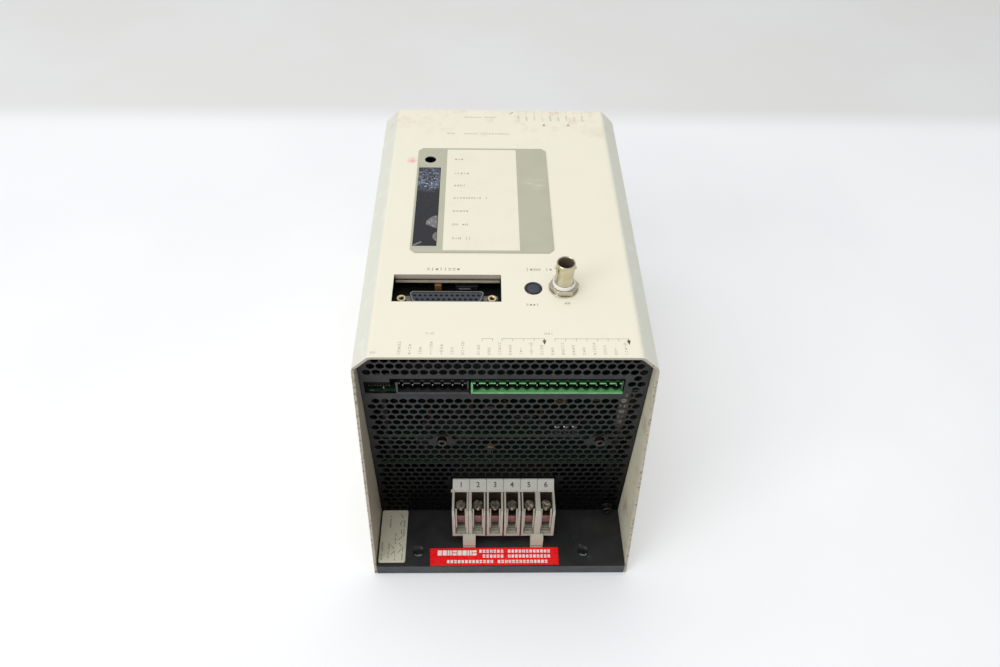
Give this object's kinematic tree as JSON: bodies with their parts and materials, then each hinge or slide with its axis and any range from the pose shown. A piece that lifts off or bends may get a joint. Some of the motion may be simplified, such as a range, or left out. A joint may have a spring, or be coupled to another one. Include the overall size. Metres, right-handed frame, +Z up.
{
  "type": "servo drive",
  "caption": "Panel-mounted servo drive: a bent sheet cover over stacked boards, with vented grilles, pluggable headers, screw terminals, a selector and a reset button.",
  "frame": {"origin": "the centre of the base plate's underside, at the centre of the drive's footprint", "axes": "+X to the right when the operator reads the face from the terminal end, -Y towards the end with the power terminals, +Z up from the base plate to the operator's face"},
  "size_m": [0.1536, 0.277, 0.178],
  "materials": {
    "cream_paint": "smooth semi-matte cream paint",
    "black_paint": "satin black paint on steel sheet",
    "overlay_film": "printed polyester film, matte",
    "dark_window": "smoked glossy plastic",
    "nickel": "nickel plate",
    "zinc": "zinc plated steel",
    "brass": "plain brass",
    "black_screw": "black oxide steel",
    "white_plastic": "white moulded plastic",
    "black_plastic": "black moulded plastic",
    "blue_grey_plastic": "blue-grey moulded plastic",
    "green_plastic": "green moulded plastic",
    "beige_plastic": "grey-beige moulded polyamide",
    "green_board": "glass-fibre circuit board",
    "dark_board": "dark green circuit board",
    "capacitor_sleeve": "dark blue plastic sleeve over an aluminium can"
  },
  "bodies": {
    "chassis": {"cover": "cream_paint", "base_plate": "black_paint", "front_grille": "black_paint", "rear_grille": "black_paint", "grille_screw_left": "black_screw", "grille_screw_right": "black_screw", "grille_foot_screw": "black_screw", "cover_screw_front_left": "zinc", "cover_screw_front_right": "zinc", "cover_screw_rear_left": "zinc", "cover_screw_rear_right": "zinc", "face_overlay": "overlay_film", "led_window": "dark_window", "status_window": "dark_window", "bnc_body": "nickel", "bnc_washer": "nickel", "bnc_nut": "nickel", "bnc_insulator": "white_plastic", "bnc_ring": "white_plastic", "programmer_socket_shell": "zinc", "programmer_socket_insert": "blue_grey_plastic", "jack_screw_left": "brass", "jack_screw_right": "brass", "reset_switch_body": "black_plastic", "black_header": "black_plastic", "dip_switch_body": "black_plastic", "power_module": "black_plastic", "control_board": "green_board", "drive_board": "green_board", "power_board": "green_board", "face_board": "dark_board", "standoff_front_left": "zinc", "standoff_front_right": "zinc", "standoff_rear_left": "zinc", "standoff_rear_right": "zinc", "green_header": "green_plastic", "rear_header": "green_plastic", "bus_capacitor": "capacitor_sleeve", "terminal_block_left": "beige_plastic", "terminal_block_middle": "beige_plastic", "terminal_block_right": "beige_plastic", "marker_strip": "beige_plastic", "din_rail": "zinc"},
    "reset_plunger": {"reset_button": "white_plastic"},
    "dip_switch_1": {"dip_slider_1": "white_plastic"},
    "dip_switch_2": {"dip_slider_2": "white_plastic"},
    "dip_switch_3": {"dip_slider_3": "white_plastic"},
    "dip_switch_4": {"dip_slider_4": "white_plastic"},
    "screw_1": {"terminal_screw_1": "zinc"},
    "clamp_1": {"wire_clamp_1": "zinc"},
    "screw_2": {"terminal_screw_2": "zinc"},
    "clamp_2": {"wire_clamp_2": "zinc"},
    "screw_3": {"terminal_screw_3": "zinc"},
    "clamp_3": {"wire_clamp_3": "zinc"},
    "screw_4": {"terminal_screw_4": "zinc"},
    "clamp_4": {"wire_clamp_4": "zinc"},
    "screw_5": {"terminal_screw_5": "zinc"},
    "clamp_5": {"wire_clamp_5": "zinc"},
    "screw_6": {"terminal_screw_6": "zinc"},
    "clamp_6": {"wire_clamp_6": "zinc"}
  },
  "joints": [
    {"name": "reset_press", "type": "slide", "parent": "chassis", "child": "reset_plunger", "axis": [0, 0, -1], "range_m": [0, 0.0008], "stiffness_N_per_m": 600},
    {"name": "dip_slide_1", "type": "slide", "parent": "chassis", "child": "dip_switch_1", "axis": [0, 1, 0], "range_m": [0, 0.002]},
    {"name": "dip_slide_2", "type": "slide", "parent": "chassis", "child": "dip_switch_2", "axis": [0, 1, 0], "range_m": [0, 0.002]},
    {"name": "dip_slide_3", "type": "slide", "parent": "chassis", "child": "dip_switch_3", "axis": [0, 1, 0], "range_m": [0, 0.002]},
    {"name": "dip_slide_4", "type": "slide", "parent": "chassis", "child": "dip_switch_4", "axis": [0, 1, 0], "range_m": [0, 0.002]},
    {"name": "terminal_turn_1", "type": "hinge", "parent": "chassis", "child": "screw_1", "pos_m": [-0.0238, -0.1127, 0.034], "axis": [0, 0, -1], "range_deg": [0, 1240]},
    {"name": "clamp_lift_1", "type": "slide", "parent": "chassis", "child": "clamp_1", "axis": [0, 0, 1], "range_m": [0, 0.0024]},
    {"name": "terminal_turn_2", "type": "hinge", "parent": "chassis", "child": "screw_2", "pos_m": [-0.0138, -0.1127, 0.034], "axis": [0, 0, -1], "range_deg": [0, 1240]},
    {"name": "clamp_lift_2", "type": "slide", "parent": "chassis", "child": "clamp_2", "axis": [0, 0, 1], "range_m": [0, 0.0024]},
    {"name": "terminal_turn_3", "type": "hinge", "parent": "chassis", "child": "screw_3", "pos_m": [-0.0038, -0.1127, 0.034], "axis": [0, 0, -1], "range_deg": [0, 1240]},
    {"name": "clamp_lift_3", "type": "slide", "parent": "chassis", "child": "clamp_3", "axis": [0, 0, 1], "range_m": [0, 0.0024]},
    {"name": "terminal_turn_4", "type": "hinge", "parent": "chassis", "child": "screw_4", "pos_m": [0.0062, -0.1127, 0.034], "axis": [0, 0, -1], "range_deg": [0, 1240]},
    {"name": "clamp_lift_4", "type": "slide", "parent": "chassis", "child": "clamp_4", "axis": [0, 0, 1], "range_m": [0, 0.0024]},
    {"name": "terminal_turn_5", "type": "hinge", "parent": "chassis", "child": "screw_5", "pos_m": [0.0162, -0.1127, 0.034], "axis": [0, 0, -1], "range_deg": [0, 1240]},
    {"name": "clamp_lift_5", "type": "slide", "parent": "chassis", "child": "clamp_5", "axis": [0, 0, 1], "range_m": [0, 0.0024]},
    {"name": "terminal_turn_6", "type": "hinge", "parent": "chassis", "child": "screw_6", "pos_m": [0.0262, -0.1127, 0.034], "axis": [0, 0, -1], "range_deg": [0, 1240]},
    {"name": "clamp_lift_6", "type": "slide", "parent": "chassis", "child": "clamp_6", "axis": [0, 0, 1], "range_m": [0, 0.0024]}
  ],
  "couplings": [
    {"joint": "terminal_turn_1", "follows": "clamp_lift_1", "rad_per_m": 8976},
    {"joint": "terminal_turn_2", "follows": "clamp_lift_2", "rad_per_m": 8976},
    {"joint": "terminal_turn_3", "follows": "clamp_lift_3", "rad_per_m": 8976},
    {"joint": "terminal_turn_4", "follows": "clamp_lift_4", "rad_per_m": 8976},
    {"joint": "terminal_turn_5", "follows": "clamp_lift_5", "rad_per_m": 8976},
    {"joint": "terminal_turn_6", "follows": "clamp_lift_6", "rad_per_m": 8976}
  ]
}
